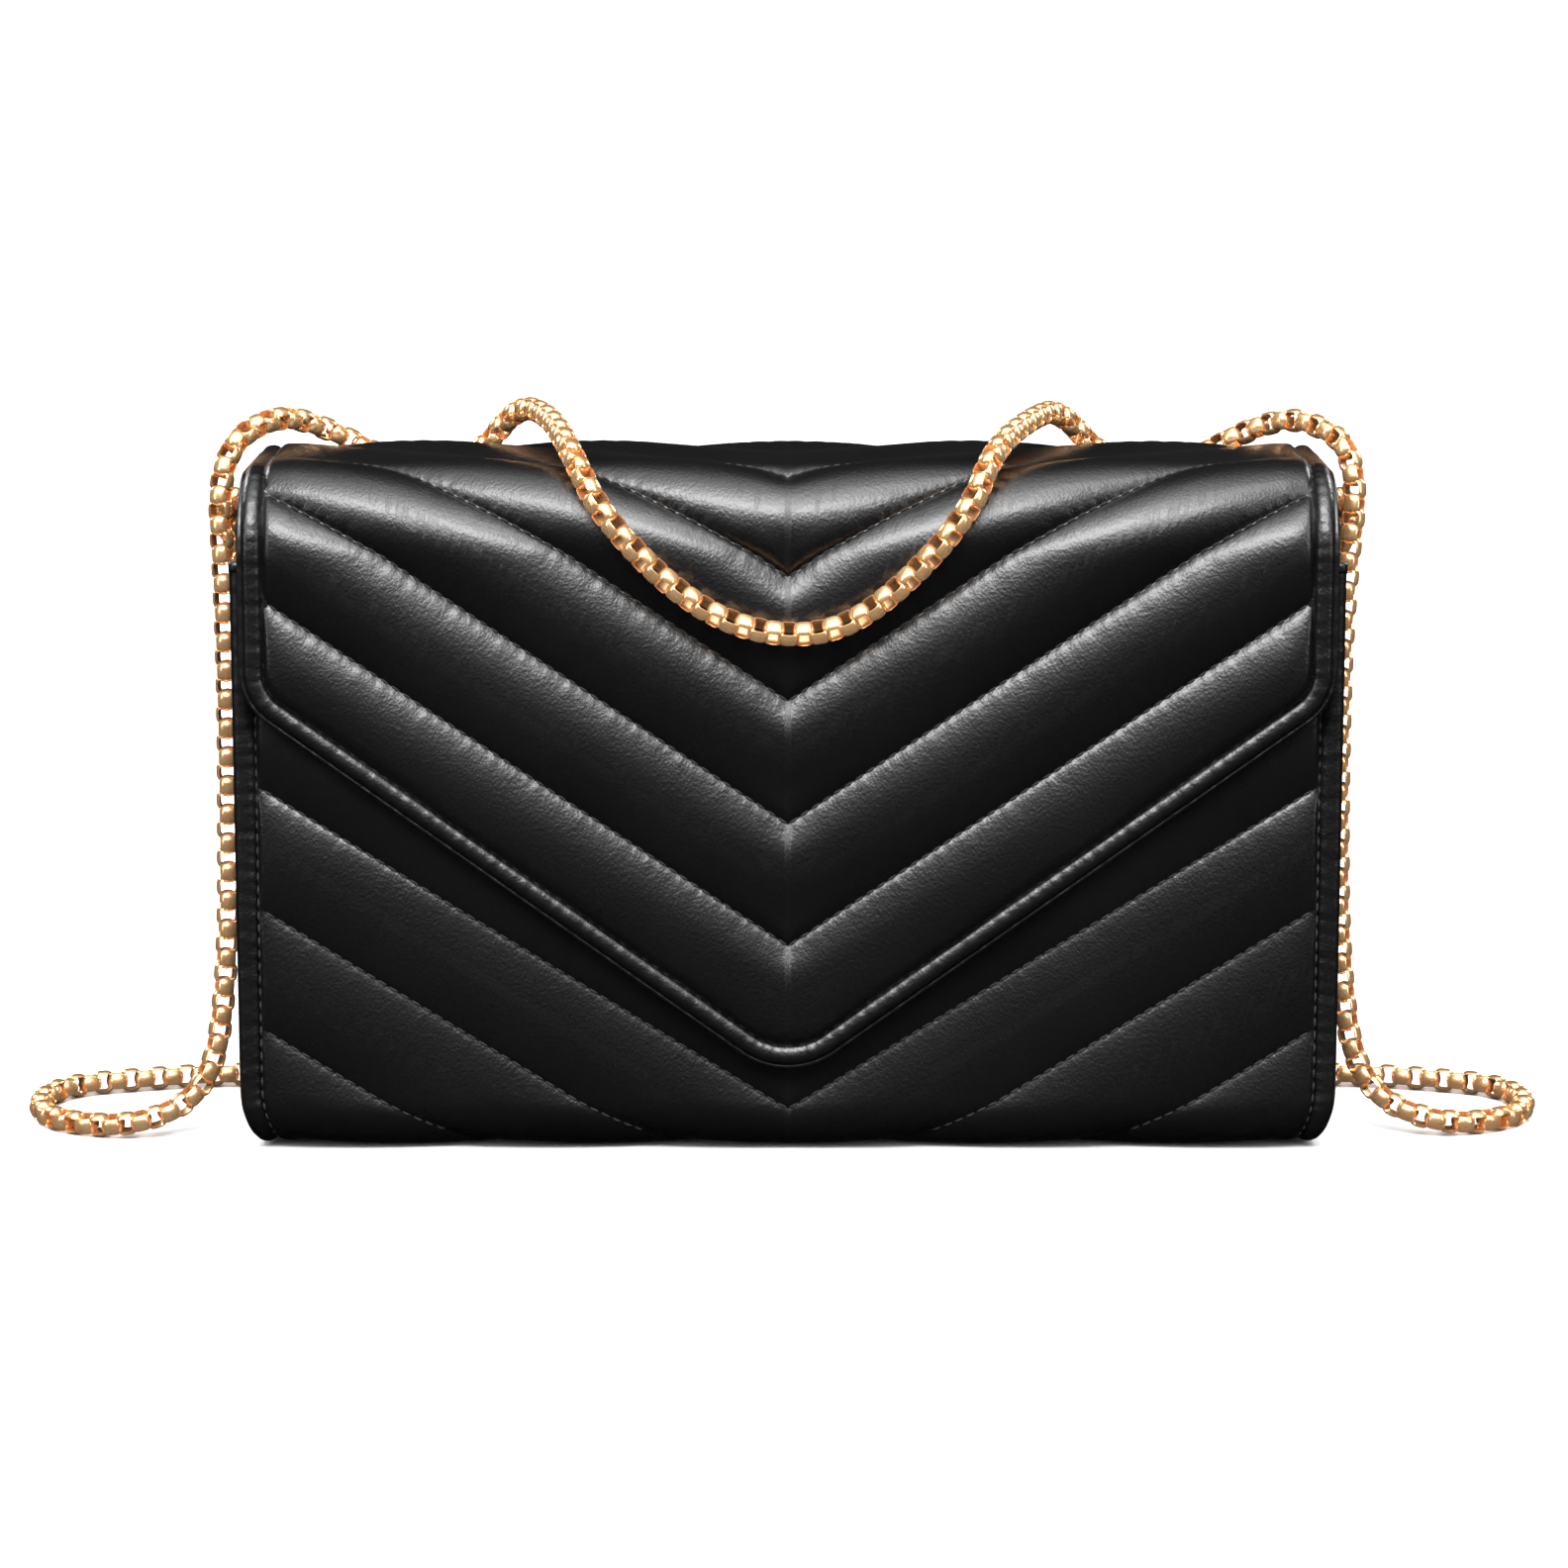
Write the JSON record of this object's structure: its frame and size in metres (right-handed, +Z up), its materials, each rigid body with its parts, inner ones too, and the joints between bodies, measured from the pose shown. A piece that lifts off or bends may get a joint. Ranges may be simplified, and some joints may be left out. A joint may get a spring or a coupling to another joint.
{
  "type": "crossbody purse",
  "caption": "Small quilted envelope-flap shoulder bag in padded leather, with a folding flap, magnetic snap, inner zip pocket and a round box-chain strap on clasps.",
  "frame": {"origin": "middle of the base, on the floor it stands on", "axes": "+X along the width, +Y to the back, +Z up; the flap closes over the -Y side"},
  "size_m": [0.3224, 0.0733, 0.1535],
  "materials": {
    "quilted_leather": "smooth black calf leather with a fine grain, padded and stitched",
    "edge_leather": "black leather, turned and stitched, slightly glossy",
    "gusset_leather": "plain black leather",
    "stiffener": "grey-brown board",
    "lining_fabric": "black woven lining",
    "flap_lining": "smooth black leather",
    "zip_tape": "black woven tape",
    "zip_metal": "polished pale gold plating",
    "snap_metal": "polished pale gold plating",
    "strap_gold": "polished rose-gold plating",
    "fitting_gold": "polished rose-gold plating"
  },
  "bodies": {
    "bag": {"front_panel": "quilted_leather", "front_board": "stiffener", "front_top_binding": "edge_leather", "base_panel": "gusset_leather", "base_board": "stiffener", "back_panel": "quilted_leather", "back_board": "stiffener", "back_top_binding": "edge_leather", "back_facing": "gusset_leather", "flap_tail": "edge_leather", "gusset_left": "gusset_leather", "gusset_right": "gusset_leather", "gusset_binding_left": "edge_leather", "gusset_binding_right": "edge_leather", "lining": "lining_fabric", "slip_pocket": "lining_fabric", "zip_pouch": "lining_fabric", "zip_tape_upper": "zip_tape", "zip_tape_lower": "zip_tape", "zip_teeth_upper": "zip_metal", "zip_teeth_lower": "zip_metal", "zip_stop_left": "zip_metal", "zip_stop_right": "zip_metal", "snap_socket": "snap_metal", "snap_socket_backplate": "snap_metal", "dring_tab_left": "edge_leather", "dring_tab_right": "edge_leather", "clasp_left": "fitting_gold", "clasp_right": "fitting_gold", "clasp_eye_left": "fitting_gold", "clasp_eye_right": "fitting_gold", "chain_left": "strap_gold", "chain_right": "strap_gold"},
    "flap_top": {"flap_top_cover": "quilted_leather", "flap_top_board": "stiffener", "flap_top_lining": "flap_lining", "flap_top_binding_left": "edge_leather", "flap_top_binding_right": "edge_leather", "chain_over_left": "strap_gold", "chain_over_right": "strap_gold"},
    "flap_front": {"flap_leaf_cover": "quilted_leather", "flap_leaf_board": "stiffener", "flap_leaf_lining": "flap_lining", "flap_leaf_binding": "edge_leather", "snap_stud": "snap_metal", "snap_stud_backplate": "snap_metal", "chain_front": "strap_gold"},
    "slider": {"zip_slider": "zip_metal"},
    "puller": {"zip_puller": "zip_metal"},
    "ring_left": {"dring_left": "fitting_gold"},
    "ring_right": {"dring_right": "fitting_gold"},
    "gate_left": {"clasp_gate_left": "fitting_gold"},
    "gate_right": {"clasp_gate_right": "fitting_gold"}
  },
  "joints": [
    {"name": "lid_fold", "type": "hinge", "parent": "bag", "child": "flap_top", "pos_m": [0, 0.0282, 0.13583], "axis": [-1, 0, 0], "range_deg": [0, 90], "deforming": ["chain_over_left", "chain_over_right"]},
    {"name": "flap_fold", "type": "hinge", "parent": "flap_top", "child": "flap_front", "pos_m": [0, -0.02293, 0.13873], "axis": [-1, 0, 0], "range_deg": [0, 60], "deforming": ["chain_front"]},
    {"name": "zip_slide", "type": "slide", "parent": "bag", "child": "slider", "axis": [-1, 0, 0], "range_m": [0, 0.116]},
    {"name": "puller_swing", "type": "hinge", "parent": "slider", "child": "puller", "pos_m": [0.058, 0.0172, 0.097], "axis": [-1, 0, 0], "range_deg": [0, 35]},
    {"name": "ring_left_swing", "type": "hinge", "parent": "bag", "child": "ring_left", "pos_m": [-0.1058, 0.01, 0.081], "axis": [0, 1, 0], "range_deg": [0, 20]},
    {"name": "ring_right_swing", "type": "hinge", "parent": "bag", "child": "ring_right", "pos_m": [0.1058, 0.01, 0.081], "axis": [0, -1, 0], "range_deg": [0, 20]},
    {"name": "gate_left_press", "type": "hinge", "parent": "bag", "child": "gate_left", "pos_m": [-0.0992, 0.01, 0.1016], "axis": [0, 1, 0], "range_deg": [0, 25], "stiffness_Nm_per_rad": 0.0005, "springref_deg": -20.05},
    {"name": "gate_right_press", "type": "hinge", "parent": "bag", "child": "gate_right", "pos_m": [0.0992, 0.01, 0.1016], "axis": [0, -1, 0], "range_deg": [0, 25], "stiffness_Nm_per_rad": 0.0005, "springref_deg": -20.05}
  ]
}
